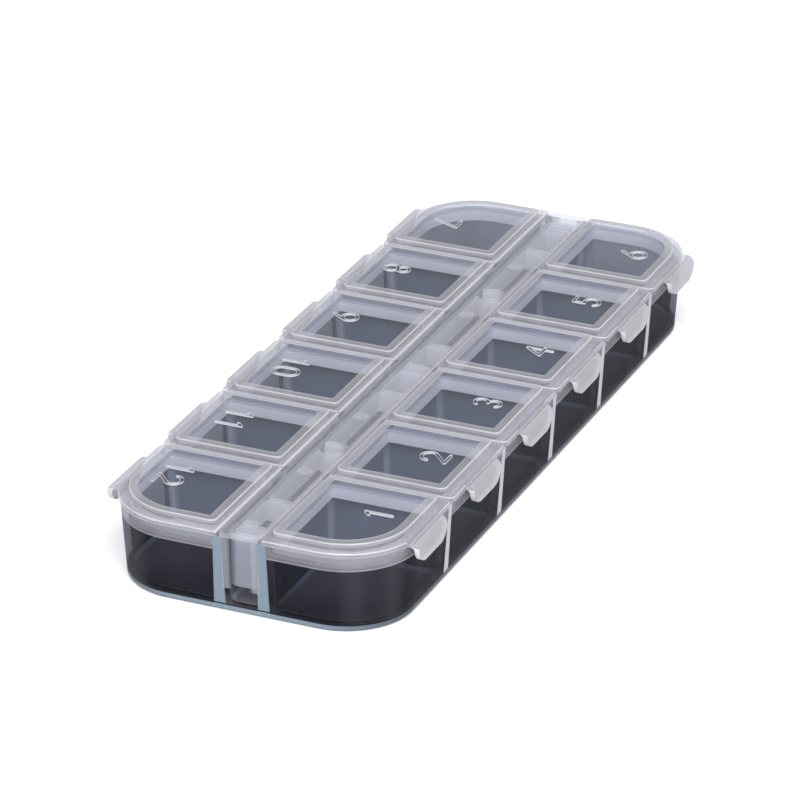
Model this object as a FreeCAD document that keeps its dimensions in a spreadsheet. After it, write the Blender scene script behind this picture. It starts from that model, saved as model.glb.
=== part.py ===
"""Twelve-compartment organizer box: a tray, a centre strip and twelve hinged lids.

Millimetres. X runs across the box, Y along it and Z up. The origin is on the
underside of the tray, in the middle. Lids 1 to 6 lie in the row at +X, from -Y
to +Y, and lids 7 to 12 in the row at -X, from +Y back to -Y.
"""
import FreeCAD
import Part
import math
import operator
import os
import Sketcher

SIZES = (
    ("rim_length", 129.4, "tray, outside length at the rim"),
    ("rim_width", 47.2, "tray, outside width at the rim"),
    ("rim_corner", 11.4, "tray, plan radius of its four corners at the rim"),
    ("tray_height", 12.5, "tray, floor to rim, outside"),
    ("tray_taper", 0.8, "tray, how far each side leans in from rim to base"),
    ("wall_thick", 1.0, "tray, outer wall"),
    ("floor_thick", 1.0, "tray, floor"),
    ("base_bevel", 0.4, "tray, bevel of the lower outside edge"),
    ("end_extra", 2.6, "rim, reach past the six equal pitches at each end"),
    ("divider_thick", 1.2, "walls between compartments, at the rim"),
    ("cell_taper", 0.25, "how far an inner wall thickens from rim to floor, each face"),
    ("cell_corner", 1.5, "compartment, upright inner corners"),
    ("cell_bevel", 0.5, "compartment, bevel where floor meets wall"),
    ("channel_width", 5.9, "channel between the two rows, at the rim"),
    ("hinge_set", 0.45, "hinge axis, distance outside the channel's face at the rim"),
    ("film_width", 0.5, "hinge film, across"),
    ("film_thick", 0.3, "hinge film, thickness"),
    ("film_inset", 1.0, "hinge film, stops short of each end of its lid"),
    ("groove_depth", 0.3, "bevel above the film, on the lid and on the strip"),
    ("flange_thick", 0.8, "lid flange and strip plate"),
    ("lid_overhang", 0.3, "lid flange, reach past the tray rim"),
    ("lid_gap", 0.3, "gap between neighbouring lids"),
    ("lid_corner", 1.0, "lid flange, outer plan corners"),
    ("skirt_clear", 0.35, "gap between a lid's skirt and its compartment"),
    ("skirt_depth", 1.9, "lid skirt, reach below the rim"),
    ("skirt_wall", 0.9, "lid skirt, thickness"),
    ("lid_rise", 0.8, "lid frame, height above the flange"),
    ("frame_width", 1.4, "lid frame, width of the flat rim round the panel"),
    ("panel_sink", 0.1, "lid panel, depth below the frame"),
    ("panel_thick", 0.8, "lid panel, thickness"),
    ("edge_round", 0.25, "lid, rounding of the frame, the flange and the skirt's foot"),
    ("tab_length", 10.4, "thumb tab, along the box"),
    ("tab_reach", 1.4, "thumb tab, reach past the flange"),
    ("tab_drop", 3.5, "thumb tab, lip below the flange top"),
    ("tab_root", 0.7, "thumb tab, overlap into the flange"),
    ("tab_round", 2.6, "thumb tab, lower corners of its tongue"),
    ("digit_height", 4.2, "number, height along the stroke's centre line"),
    ("digit_width", 2.6, "number, width along the stroke's centre line"),
    ("digit_space", 1.2, "number, gap between two digits"),
    ("digit_stroke", 0.5, "number, stroke width"),
    ("digit_raise", 0.25, "number, height above the panel"),
    ("digit_inset", 7.3, "number, centre to the flange's outer edge"),
    ("strip_short", 0.2, "centre strip, each end short of the lid ends"),
    ("rail_depth", 3.5, "centre strip, side rails below the plate"),
    ("rail_thick", 0.75, "centre strip, side rails and leg walls"),
    ("leg_depth", 8.6, "centre strip, legs below the plate"),
    ("leg_length", 3.6, "centre strip, legs along the box"),
    ("rib_thick", 1.0, "centre strip, cross ribs"),
    ("rib_inner", 9.4, "centre strip, inner cross ribs from the middle"),
    ("rib_outer", 12.4, "centre strip, outer cross ribs from the end of the rails"),
    ("post_radius", 2.3, "centre strip, round posts, outside"),
    ("post_bore", 1.5, "centre strip, round posts, bore radius"),
    ("mark_radius", 1.2, "centre strip, round moulding marks"),
    ("mark_depth", 0.12, "centre strip, depth of the moulding marks"),
    ("mark_end", 4.5, "centre strip, end marks from the end of the plate"),
)

CELLS = 6
ROWS = ((1, "right"), (-1, "left"))
NEAR_END_LIDS = (1, CELLS + 1)
FAR_END_LIDS = (CELLS, 2 * CELLS)
NEAR = 1e-4

doc = FreeCAD.newDocument("organizer_box")
sheet = doc.addObject("Spreadsheet::Sheet", "Sizes")
for row, (alias, number, note) in enumerate(SIZES, start=1):
    sheet.set(f"A{row}", note)
    sheet.set(f"B{row}", str(number))
    sheet.setAlias(f"B{row}", alias)
doc.recompute()

OPERATORS = {"+": operator.add, "-": operator.sub, "*": operator.mul, "/": operator.truediv}


class Size:
    """An expression over the sheet's cells, together with its present value."""

    def __init__(self, text, value):
        self.text = text
        self.value = value

    def join(self, sign, other):
        other = other if isinstance(other, Size) else Size(repr(other), other)
        text = f"({self.text} {sign} {other.text})"
        return Size(text, OPERATORS[sign](self.value, other.value))

    def __add__(self, other):
        return self.join("+", other)

    def __sub__(self, other):
        return self.join("-", other)

    def __mul__(self, other):
        return self.join("*", other)

    def __truediv__(self, other):
        return self.join("/", other)

    def __neg__(self):
        return Size(f"(-{self.text})", -self.value)


def size(alias):
    """The named cell of the sheet."""
    return Size(f"Sizes.{alias}", float(sheet.get(alias)))


def at_least(length, least):
    """The larger of two sizes."""
    return Size(f"max({length.text}; {least.text})", max(length.value, least.value))


def at_most(length, most):
    """The smaller of two sizes."""
    return Size(f"min({length.text}; {most.text})", min(length.value, most.value))


def bind(thing, field, length):
    """Tie one field of an object to an expression."""
    thing.setExpression(field, length.text)


def origin_plane(body, role):
    return next(f for f in body.Origin.OriginFeatures if f.Role == role)


def new_sketch(body, name, role, lift=None):
    """An empty sketch on one of the body's origin planes, lifted along its normal."""
    sketch = body.newObject("Sketcher::SketchObject", name)
    sketch.AttachmentSupport = [(origin_plane(body, role), "")]
    sketch.MapMode = "FlatFace"
    if lift is not None:
        bind(sketch, "AttachmentOffset.Base.z", lift)
    return sketch


def pin(sketch, name, kind, geometry, point, length):
    """Hold one coordinate of a sketch point at a signed distance from the origin."""
    ends = (-1, 1, geometry, point) if length.value >= 0 else (geometry, point, -1, 1)
    length = length if length.value >= 0 else -length
    index = sketch.addConstraint(Sketcher.Constraint(kind, *ends, length.value))
    sketch.renameConstraint(index, name)
    bind(sketch, f"Constraints.{name}", length)


def set_radius(sketch, name, arc, length):
    index = sketch.addConstraint(Sketcher.Constraint("Radius", arc, length.value))
    sketch.renameConstraint(index, name)
    bind(sketch, f"Constraints.{name}", length)


def vector(x, y):
    return FreeCAD.Vector(x, y, 0)


def draw_outline(sketch, sides, corners, tag="outline"):
    """A closed rectangle with its sides pinned and each corner round, or sharp where None.

    sides are west, east, south and north. corners start at south-west and run
    south-east, north-east and north-west.
    """
    west, east, south, north = (side.value for side in sides)
    round_by = [0.0 if corner is None else corner.value for corner in corners]
    turns = ((west, south, 1, 1), (east, south, -1, 1), (east, north, -1, -1), (west, north, 1, -1))
    centres = [vector(x + sx * r, y + sy * r) for (x, y, sx, sy), r in zip(turns, round_by)]
    lines = []
    for i, (along_x, along_y) in enumerate(((0, -1), (1, 0), (0, 1), (-1, 0))):
        j = (i + 1) % 4
        start = centres[i] + vector(along_x, along_y) * round_by[i]
        end = centres[j] + vector(along_x, along_y) * round_by[j]
        lines.append(sketch.addGeometry(Part.LineSegment(start, end)))
        sketch.addConstraint(Sketcher.Constraint("Horizontal" if along_x == 0 else "Vertical", lines[i]))
    for j, corner in enumerate(corners):
        before = lines[j - 1]
        after = lines[j]
        if corner is None:
            sketch.addConstraint(Sketcher.Constraint("Coincident", before, 2, after, 1))
            continue
        first = math.pi + j * math.pi / 2
        circle = Part.Circle(centres[j], FreeCAD.Vector(0, 0, 1), round_by[j])
        arc = sketch.addGeometry(Part.ArcOfCircle(circle, first, first + math.pi / 2))
        sketch.addConstraint(Sketcher.Constraint("Tangent", before, 2, arc, 1))
        sketch.addConstraint(Sketcher.Constraint("Tangent", arc, 2, after, 1))
        set_radius(sketch, f"{tag}_corner{j}", arc, corner)
    south_line, east_line, north_line, west_line = lines
    pin(sketch, f"{tag}_west", "DistanceX", west_line, 1, sides[0])
    pin(sketch, f"{tag}_east", "DistanceX", east_line, 1, sides[1])
    pin(sketch, f"{tag}_south", "DistanceY", south_line, 1, sides[2])
    pin(sketch, f"{tag}_north", "DistanceY", north_line, 1, sides[3])


def draw_profile(sketch, points, arcs=None):
    """A closed chain through pinned points. arcs maps the index of a side to its radius.

    A round side bulges away from the origin of the sketch, through a quarter turn.
    """
    arcs = arcs or {}
    count = len(points)
    spots = [vector(x.value, y.value) for x, y in points]
    ends = {}
    for i, start in enumerate(spots):
        end = spots[(i + 1) % count]
        if i in arcs:
            centre = vector(min(start.x, end.x), min(start.y, end.y))
            circle = Part.Circle(centre, FreeCAD.Vector(0, 0, 1), arcs[i].value)
            side = sketch.addGeometry(Part.ArcOfCircle(circle, 0, math.pi / 2))
            rising = end.y > start.y
            ends[i] = (side, 1, 2) if rising else (side, 2, 1)
            set_radius(sketch, f"round{i}", side, arcs[i])
        else:
            ends[i] = (sketch.addGeometry(Part.LineSegment(start, end)), 1, 2)
    for i in range(count):
        side, _, last = ends[i]
        following, first, _ = ends[(i + 1) % count]
        sketch.addConstraint(Sketcher.Constraint("Coincident", side, last, following, first))
    for i, (x, y) in enumerate(points):
        side, first, _ = ends[i]
        pin(sketch, f"across{i}", "DistanceX", side, first, x)
        pin(sketch, f"up{i}", "DistanceY", side, first, y)


def draw_circles(sketch, centres, radius, tag):
    """Circles of one radius with their centres on the sketch's vertical axis."""
    for i, along in enumerate(centres):
        circle = Part.Circle(vector(0, along.value), FreeCAD.Vector(0, 0, 1), radius.value)
        ring = sketch.addGeometry(circle)
        sketch.addConstraint(Sketcher.Constraint("PointOnObject", ring, 3, -2))
        pin(sketch, f"{tag}_along{i}", "DistanceY", ring, 3, along)
        set_radius(sketch, f"{tag}_radius{i}", ring, radius)


def volume(body):
    doc.recompute()
    return 0.0 if body.Shape.isNull() else body.Shape.Volume


def pad(body, sketch, length, midplane=False, reverse=False):
    """Add the sketch's area as a prism and make sure that it added material."""
    before = volume(body)
    feature = body.newObject("PartDesign::Pad", f"{sketch.Name}_pad")
    feature.Profile = sketch
    feature.Midplane = midplane
    feature.Reversed = reverse
    bind(feature, "Length", length)
    if volume(body) <= before:
        raise RuntimeError(f"{feature.Name} added nothing")


def pocket(body, sketch, length, reverse=False):
    """Cut the sketch's area out as a prism and make sure that it removed material."""
    before = volume(body)
    feature = body.newObject("PartDesign::Pocket", f"{sketch.Name}_pocket")
    feature.Profile = sketch
    feature.Reversed = reverse
    bind(feature, "Length", length)
    if volume(body) >= before:
        raise RuntimeError(f"{feature.Name} cut nothing")


def loft(body, kind, name, sketches):
    """Join outlines, from the lowest up, by straight walls, adding or cutting as the kind says."""
    feature = body.newObject(f"PartDesign::{kind}", name)
    feature.Profile = sketches[0]
    feature.Sections = sketches[1:]
    feature.Ruled = True
    doc.recompute()


def level_edges(body, height, extra=None):
    """Names of the last feature's edges that lie flat at a height and pass a test on a middle point."""
    names = []
    for index, edge in enumerate(body.Tip.Shape.Edges, start=1):
        points = edge.discretize(5)
        flat = all(abs(point.z - height) < NEAR for point in points)
        if flat and (extra is None or extra(points[2])):
            names.append(f"Edge{index}")
    return names


def dress(body, kind, name, edges, field, length):
    """Round or bevel the named edges of the body's last feature."""
    base = body.Tip
    feature = body.newObject(f"PartDesign::{kind}", name)
    feature.Base = (base, edges)
    bind(feature, field, length)
    doc.recompute()


def new_body(name):
    body = doc.addObject("PartDesign::Body", name)
    body.Label = name
    return body


nil = Size("0", 0.0)
half_length = size("rim_length") / 2
half_width = size("rim_width") / 2
rim = size("tray_height")
flange_top = rim + size("flange_thick")
frame_top = flange_top + size("lid_rise")
panel_top = frame_top - size("panel_sink")
cell_inner = size("channel_width") / 2 + size("divider_thick")
cell_outer = half_width - size("wall_thick")
cell_end = half_length - size("wall_thick")
lid_end = half_length + size("lid_overhang")
lid_side = half_width + size("lid_overhang")
inner_corner = size("rim_corner") - size("wall_thick")
cell_pitch = (size("rim_length") - size("end_extra") * 2) / CELLS
hinge_offset = size("channel_width") / 2 + size("hinge_set")


def cell_line(index):
    """Where the divider line before a compartment lies along the box."""
    return cell_pitch * (index - CELLS / 2)


def build_tray():
    """The open tray: a tapered shell with a channel and two rows of tapered compartments."""
    body = new_body("tray")
    outer_lean = size("tray_taper")

    def shell_outline(name, inset, lift):
        across = half_width - inset
        along = half_length - inset
        sketch = new_sketch(body, name, "XY_Plane", lift)
        draw_outline(sketch, (-across, across, -along, along), [size("rim_corner") - inset] * 4)
        return sketch

    loft(body, "AdditiveLoft", "tray_block",
         [shell_outline("tray_foot", outer_lean + size("base_bevel"), nil),
          shell_outline("tray_base", outer_lean, size("base_bevel")),
          shell_outline("tray_rim", nil, rim)])

    def hollow(name, mouth, floor, mouth_corners, floor_corners):
        """Cut one hollow: a mouth at the rim, walls that lean in, and a bevel round the floor."""
        bevel = size("cell_bevel")
        west, east, south, north = floor
        foot = new_sketch(body, f"{name}_foot", "XY_Plane", size("floor_thick"))
        draw_outline(foot, (west + bevel, east - bevel, south + bevel, north - bevel),
                     [corner - bevel for corner in floor_corners])
        lower = new_sketch(body, f"{name}_floor", "XY_Plane", size("floor_thick") + bevel)
        draw_outline(lower, floor, floor_corners)
        upper = new_sketch(body, f"{name}_mouth", "XY_Plane", rim)
        draw_outline(upper, mouth, mouth_corners)
        before = volume(body)
        loft(body, "SubtractiveLoft", name, [foot, lower, upper])
        if volume(body) >= before:
            raise RuntimeError(f"{name} cut nothing")

    lean = size("cell_taper")
    channel = size("channel_width") / 2
    low_channel = channel - lean
    low_end = cell_end - outer_lean
    small = size("cell_corner")
    hollow("channel", (-channel, channel, -cell_end, cell_end),
           (-low_channel, low_channel, -low_end, low_end), [small] * 4, [small - lean] * 4)
    half_divider = size("divider_thick") / 2
    big_pair = (inner_corner, inner_corner - outer_lean)
    small_pair = (small, small - lean)
    for side, row_name in ROWS:
        for index in range(CELLS):
            first = index == 0
            last = index == CELLS - 1
            south = -cell_end if first else cell_line(index) + half_divider
            north = cell_end if last else cell_line(index + 1) - half_divider
            low_south = -low_end if first else south + lean
            low_north = low_end if last else north - lean
            south_pair = big_pair if first else small_pair
            north_pair = big_pair if last else small_pair
            mouth = (cell_inner, cell_outer, south, north)
            floor = (cell_inner + lean, cell_outer - outer_lean, low_south, low_north)
            pairs = [small_pair, south_pair, north_pair, small_pair]
            if side < 0:
                mouth = (-cell_outer, -cell_inner, south, north)
                floor = (outer_lean - cell_outer, -cell_inner - lean, low_south, low_north)
                pairs = [south_pair, small_pair, small_pair, north_pair]
            hollow(f"cell_{row_name}_{index + 1}", mouth, floor, [pair[0] for pair in pairs],
                   [pair[1] for pair in pairs])
    return body


def build_strip():
    """The centre strip: a plate with side rails, cross ribs, round posts and three hollow legs."""
    body = new_body("centre_strip")
    edge = hinge_offset - size("film_width") / 2
    bevel = size("groove_depth")
    sharp = [None] * 4
    plate = new_sketch(body, "strip_plate", "XZ_Plane")
    draw_profile(plate, ((-edge, rim), (edge, rim), (edge, flange_top - bevel), (edge - bevel, flange_top),
                         (bevel - edge, flange_top), (-edge, flange_top - bevel)))
    plate_end = lid_end - size("strip_short")
    pad(body, plate, plate_end * 2, midplane=True)

    rail_out = size("channel_width") / 2 - size("cell_taper")
    rail_in = rail_out - size("rail_thick")
    leg_end = cell_end - size("tray_taper")
    outer_round = size("cell_corner")
    inner_round = outer_round - size("rail_thick")
    rails = new_sketch(body, "strip_rails", "XY_Plane", rim)
    draw_outline(rails, (-rail_out, rail_out, -leg_end, leg_end), [outer_round] * 4, "outside")
    inside_end = leg_end - size("rail_thick")
    draw_outline(rails, (-rail_in, rail_in, -inside_end, inside_end), [inner_round] * 4, "inside")
    pad(body, rails, size("rail_depth"), reverse=True)

    half_rib = size("rib_thick") / 2
    ribs = new_sketch(body, "strip_ribs", "XY_Plane", rim)
    for rib_name, spot in (("inner", size("rib_inner")), ("outer", leg_end - size("rib_outer"))):
        for end_name, middle in (("near", -spot), ("far", spot)):
            draw_outline(ribs, (-rail_out, rail_out, middle - half_rib, middle + half_rib), sharp,
                         f"{rib_name}_{end_name}")
    pad(body, ribs, size("rail_depth"), reverse=True)

    posts = new_sketch(body, "strip_posts", "XY_Plane", rim)
    spots = (cell_line(1.5), cell_line(CELLS - 1.5))
    draw_circles(posts, spots, size("post_radius"), "post")
    draw_circles(posts, spots, size("post_bore"), "bore")
    pad(body, posts, size("rail_depth"), reverse=True)

    legs = new_sketch(body, "strip_legs", "XY_Plane", rim)
    half_leg = size("leg_length") / 2
    half_core = half_leg - size("rail_thick")
    at_near = [outer_round, outer_round, None, None]
    at_far = [None, None, outer_round, outer_round]
    for leg_name, middle, corners in (("near", half_leg - leg_end, at_near), ("middle", nil, sharp),
                                      ("far", leg_end - half_leg, at_far)):
        draw_outline(legs, (-rail_out, rail_out, middle - half_leg, middle + half_leg), corners,
                     f"{leg_name}_leg")
        draw_outline(legs, (-rail_in, rail_in, middle - half_core, middle + half_core), sharp,
                     f"{leg_name}_core")
    pad(body, legs, size("leg_depth"), reverse=True)

    marks = new_sketch(body, "strip_marks", "XY_Plane", flange_top)
    lines = [cell_line(index) for index in range(1, CELLS) if index != CELLS // 2]
    last_mark = plate_end - size("mark_end")
    draw_circles(marks, lines + [last_mark, -last_mark], size("mark_radius"), "mark")
    pocket(body, marks, size("mark_depth"))
    return body


def lid_sides(inset_hinge, inset_outer, inset_line, inset_end, near_end, far_end):
    """West, east, south and north of an outline on a lid, in the lid's own frame.

    The frame's origin is on the hinge axis, half a pitch from the dividers. The
    insets are from the hinge axis, the widest edge, a divider line and the end.
    """
    half_pitch = cell_pitch / 2
    end_line = lid_end - cell_pitch * (CELLS / 2 - 0.5)
    south = -(end_line - inset_end) if near_end else -(half_pitch - inset_line)
    north = end_line - inset_end if far_end else half_pitch - inset_line
    return inset_hinge, lid_side - hinge_offset - inset_outer, south, north


def lid_corners(inner, small, big, near_end, far_end):
    """Corner sizes from the south-west: two at the hinge, the outer ones big at an end of the box."""
    return [inner, big if near_end else small, big if far_end else small, inner]


def build_lid(number):
    """One lid, drawn in its own frame with X pointing away from the hinge, then put in its row."""
    side, index = lid_place(number)
    near_end = number in NEAR_END_LIDS
    far_end = number in FAR_END_LIDS
    name = f"lid_{number:02d}"
    body = new_body(f"{name}_shell")
    lip = size("edge_round")
    film_edge = size("film_width") / 2

    flange = new_sketch(body, f"{name}_flange", "XY_Plane", rim)
    gap = size("lid_gap") / 2
    big = size("rim_corner") + size("lid_overhang")
    draw_outline(flange, lid_sides(film_edge, nil, gap, nil, near_end, far_end),
                 lid_corners(None, size("lid_corner"), big, near_end, far_end))
    pad(body, flange, size("flange_thick"))
    edges = level_edges(body, flange_top.value, lambda point: abs(point.x - film_edge.value) < NEAR)
    dress(body, "Chamfer", f"{name}_groove", edges, "Size", size("groove_depth"))
    groove_end = (film_edge + size("groove_depth")).value
    edges = level_edges(body, flange_top.value, lambda point: point.x > groove_end + NEAR)
    dress(body, "Fillet", f"{name}_flange_round", edges, "Radius", lip)

    def ring_outline(sketch, inset, tag):
        """The skirt's outline, moved inwards."""
        wall = size("skirt_clear") + inset
        from_hinge = cell_inner - hinge_offset + wall
        from_edge = size("lid_overhang") + size("wall_thick") + wall
        from_line = size("divider_thick") / 2 + wall
        sides = lid_sides(from_hinge, from_edge, from_line, from_edge, near_end, far_end)
        small = at_least(size("cell_corner") - wall, lip)
        draw_outline(sketch, sides, lid_corners(small, small, inner_corner - wall, near_end, far_end), tag)

    skirt_bottom = rim - size("skirt_depth")
    hat = new_sketch(body, f"{name}_hat", "XY_Plane", skirt_bottom)
    ring_outline(hat, nil, "skirt")
    pad(body, hat, frame_top - skirt_bottom)
    dress(body, "Fillet", f"{name}_hat_round", level_edges(body, frame_top.value), "Radius", lip)
    sunk = new_sketch(body, f"{name}_panel", "XY_Plane", frame_top)
    ring_outline(sunk, size("frame_width"), "panel")
    pocket(body, sunk, size("panel_sink"))

    hollow = new_sketch(body, f"{name}_hollow", "XY_Plane", skirt_bottom)
    ring_outline(hollow, size("skirt_wall"), "core")
    pocket(body, hollow, panel_top - size("panel_thick") - skirt_bottom, reverse=True)
    dress(body, "Fillet", f"{name}_skirt_round", level_edges(body, skirt_bottom.value), "Radius", lip)

    figures = doc.addObject("Part::Feature", f"{name}_number")
    figures.Shape = number_solid(number)
    bend, tongue = tab_bodies(name)
    for piece in (body, figures, bend, tongue):
        put_on_hinge(piece, side, index)
    tab = doc.addObject("Part::Common", f"{name}_tab")
    tab.Base = bend
    tab.Tool = tongue
    lid = doc.addObject("Part::MultiFuse", name)
    lid.Label = name
    lid.Shapes = [body, figures, tab]
    lid.Refine = True
    doc.recompute()
    return lid


def tab_bodies(name):
    """Two prisms that share the thumb tab: its bent section along Y and its tongue outline along X."""
    edge = lid_side - hinge_offset
    root = edge - size("tab_root")
    curl = flange_top - size("tab_reach")
    tip = flange_top - size("tab_drop")
    outside = edge + size("tab_reach")
    inside = outside - size("flange_thick")
    half = size("tab_length") / 2
    spare = size("tab_round")
    bend = new_body(f"{name}_tab_bend")
    section = new_sketch(bend, f"{name}_tab_section", "XZ_Plane")
    draw_profile(section, ((root, flange_top), (edge, flange_top), (outside, curl), (outside, tip - spare),
                           (inside, tip - spare), (inside, curl), (edge, rim), (root, rim)),
                 {1: size("tab_reach"), 5: size("tab_reach") - size("flange_thick")})
    pad(bend, section, size("tab_length") + spare, midplane=True)
    tongue = new_body(f"{name}_tab_tongue")
    outline = new_sketch(tongue, f"{name}_tab_outline", "YZ_Plane", root - spare)
    lower = at_most(size("tab_round"), half * 0.9)
    draw_outline(outline, (-half, half, tip, flange_top + spare), [lower, lower, None, None])
    pad(tongue, outline, outside - root + spare * 2)
    return bend, tongue


def lid_place(number):
    """The row's side and the place along it, counted from -Y, of a numbered lid."""
    return (1, number - 1) if number <= CELLS else (-1, 2 * CELLS - number)


def put_on_hinge(piece, side, index):
    """Set a piece drawn in a lid's frame on its hinge axis, turned about for the row at -X."""
    turn = 0 if side > 0 else 180
    piece.Placement = FreeCAD.Placement(FreeCAD.Vector(), FreeCAD.Rotation(FreeCAD.Vector(0, 0, 1), turn))
    bind(piece, "Placement.Base.x", hinge_offset * side)
    bind(piece, "Placement.Base.y", cell_line(index + 0.5))


def digit_strokes(digit, width, height):
    """Centre lines of a figure, as lines (two points) and arcs (centre, radius, two angles).

    The figure is centred, U to the reader's right and V up.
    """
    side = width / 2
    top = height / 2
    bowl = 0.3 * height
    bowl_centre = (0, bowl - top)
    quarter = height / 4
    upper = 0.23 * height
    lower = top - upper
    hook = math.radians(30)
    shoulder = math.radians(125)
    stem = (bowl * math.cos(shoulder), bowl - top + bowl * math.sin(shoulder))
    cheek = math.radians(155)
    tail = (bowl * math.cos(cheek), bowl - top + bowl * math.sin(cheek))
    strokes = {
        0: [((-side, side - top), (-side, top - side)), ((side, side - top), (side, top - side)),
            ((0, top - side), side, 0, 180), ((0, side - top), side, 180, 360)],
        1: [((0, -top), (0, top)), ((0, top), (-0.6 * side, top - 0.6 * side))],
        2: [((0, top - side), side, -30, 180), ((-side, -top), (side, -top)),
            ((side * math.cos(hook), top - side - side * math.sin(hook)), (-side, -top))],
        3: [((0, top - quarter), quarter, -90, 150), ((0, quarter - top), quarter, -150, 90)],
        4: [((0.5 * side, -top), (0.5 * side, top)), ((0.5 * side, top), (-side, -0.3 * top)),
            ((-side, -0.3 * top), (side, -0.3 * top))],
        5: [((side, top), (stem[0], top)), ((stem[0], top), stem), (bowl_centre, bowl, -150, 125)],
        6: [(bowl_centre, bowl, 0, 360), (tail, (0.4 * side, top))],
        7: [((-side, top), (side, top)), ((side, top), (-0.4 * side, -top))],
        8: [((0, top - upper), upper, 0, 360), ((0, lower - top), lower, 0, 360)],
        9: [((0, top - bowl), bowl, 0, 360), ((-tail[0], -tail[1]), (-0.4 * side, -top))],
    }
    return strokes[digit]


def disc(centre, radius, depth):
    return Part.makeCylinder(radius, depth, FreeCAD.Vector(centre[0], centre[1], 0))


def line_stroke(start, end, stroke, depth):
    """A bar between two points with round ends."""
    run = math.hypot(end[0] - start[0], end[1] - start[1])
    bar = Part.makeBox(run, stroke, depth, FreeCAD.Vector(0, -stroke / 2, 0))
    turn = math.degrees(math.atan2(end[1] - start[1], end[0] - start[0]))
    bar.Placement = FreeCAD.Placement(FreeCAD.Vector(start[0], start[1], 0),
                                      FreeCAD.Rotation(FreeCAD.Vector(0, 0, 1), turn))
    return [bar, disc(start, stroke / 2, depth), disc(end, stroke / 2, depth)]


def arc_stroke(centre, radius, first, last, stroke, depth):
    """A piece of a ring between two angles with round ends."""
    up = FreeCAD.Vector(0, 0, 1)
    middle = FreeCAD.Vector(centre[0], centre[1], 0)
    outside = Part.makeCylinder(radius + stroke / 2, depth, FreeCAD.Vector(), up, last - first)
    ring = outside.cut(Part.makeCylinder(radius - stroke / 2, depth))
    ring.Placement = FreeCAD.Placement(middle, FreeCAD.Rotation(up, first))
    if last - first == 360:
        return [ring]
    turns = [math.radians(angle) for angle in (first, last)]
    ends = [(centre[0] + radius * math.cos(turn), centre[1] + radius * math.sin(turn)) for turn in turns]
    return [ring] + [disc(end, stroke / 2, depth) for end in ends]


def number_solid(number):
    """The raised figures of a lid's number, read from outside the box, in the lid's frame."""
    width = size("digit_width").value
    height = size("digit_height").value
    stroke = size("digit_stroke").value
    sink = size("panel_thick").value / 4
    depth = sink + size("digit_raise").value
    digits = [int(letter) for letter in str(number)]
    step = width + size("digit_space").value
    middle = lid_side - hinge_offset - size("digit_inset")
    to_reader = FreeCAD.Rotation(FreeCAD.Vector(0, 0, 1), 90)
    bars = []
    for place, digit in enumerate(digits):
        shift = (place - (len(digits) - 1) / 2) * step
        seat = FreeCAD.Vector(middle.value, shift, panel_top.value - sink)
        for item in digit_strokes(digit, width, height):
            make = line_stroke if len(item) == 2 else arc_stroke
            for bar in make(*item, stroke, depth):
                bar.Placement = FreeCAD.Placement(seat, to_reader).multiply(bar.Placement)
                bars.append(bar)
    return bars[0].multiFuse(bars[1:]).removeSplitter()


def build_film(number):
    """The thin web that joins a lid to the centre strip."""
    side, index = lid_place(number)
    film = doc.addObject("Part::Box", f"hinge_{number:02d}")
    film.Label = f"hinge_{number:02d}"
    gap = size("lid_gap") / 2 + size("film_inset")
    first = index == 0
    last = index == CELLS - 1
    south = -(lid_end - size("film_inset")) if first else cell_line(index) + gap
    north = lid_end - size("film_inset") if last else cell_line(index + 1) - gap
    bind(film, "Length", size("film_width"))
    bind(film, "Width", north - south)
    bind(film, "Height", size("film_thick"))
    bind(film, "Placement.Base.x", hinge_offset * side - size("film_width") / 2)
    bind(film, "Placement.Base.y", south)
    bind(film, "Placement.Base.z", flange_top - size("groove_depth") - size("film_thick"))
    return film


numbers = range(1, 2 * CELLS + 1)
pieces = [build_tray(), build_strip()]
pieces += [build_lid(number) for number in numbers]
pieces += [build_film(number) for number in numbers]
doc.recompute()

for thing in doc.Objects:
    if "Invalid" in thing.State or "Error" in thing.State:
        raise RuntimeError(f"{thing.Label} failed: {thing.State}")
for piece in pieces:
    if piece.Shape.isNull() or not piece.Shape.isValid() or len(piece.Shape.Solids) != 1:
        raise RuntimeError(f"{piece.Label} is not one sound solid")
os.makedirs("parts", exist_ok=True)
for piece in pieces:
    piece.Shape.exportStep(f"parts/{piece.Label}.step")
    box = piece.Shape.BoundBox
    spans = " x ".join(f"{span:.2f}" for span in (box.XLength, box.YLength, box.ZLength))
    print(f"{piece.Label}: {piece.Shape.Volume:.1f} mm3, {spans}")
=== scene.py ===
# %% [markdown]
# A flat organizer box: a smoke-tinted tray with two rows of compartments, and one
# milky moulding of a centre strip and twelve numbered lids that hangs over it. The
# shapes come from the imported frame. This lesson gives them their plastics, adds
# the thin webs that the lids bend on, and sets up light and camera.

# %% Load the frame
import math
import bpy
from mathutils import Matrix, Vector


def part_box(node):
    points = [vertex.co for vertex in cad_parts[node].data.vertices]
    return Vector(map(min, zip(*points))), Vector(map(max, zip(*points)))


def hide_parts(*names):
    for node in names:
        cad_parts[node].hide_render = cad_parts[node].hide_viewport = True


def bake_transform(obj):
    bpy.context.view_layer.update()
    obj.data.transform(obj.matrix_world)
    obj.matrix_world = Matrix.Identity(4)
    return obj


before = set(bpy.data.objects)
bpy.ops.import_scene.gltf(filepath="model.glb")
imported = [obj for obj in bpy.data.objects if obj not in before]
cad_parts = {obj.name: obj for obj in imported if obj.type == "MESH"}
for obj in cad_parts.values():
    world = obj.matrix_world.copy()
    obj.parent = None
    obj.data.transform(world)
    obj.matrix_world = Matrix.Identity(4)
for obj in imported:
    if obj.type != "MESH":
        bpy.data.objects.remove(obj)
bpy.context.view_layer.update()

from types import SimpleNamespace

import bpy
import numpy as np
from mathutils import Vector

MM = 0.001

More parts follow.
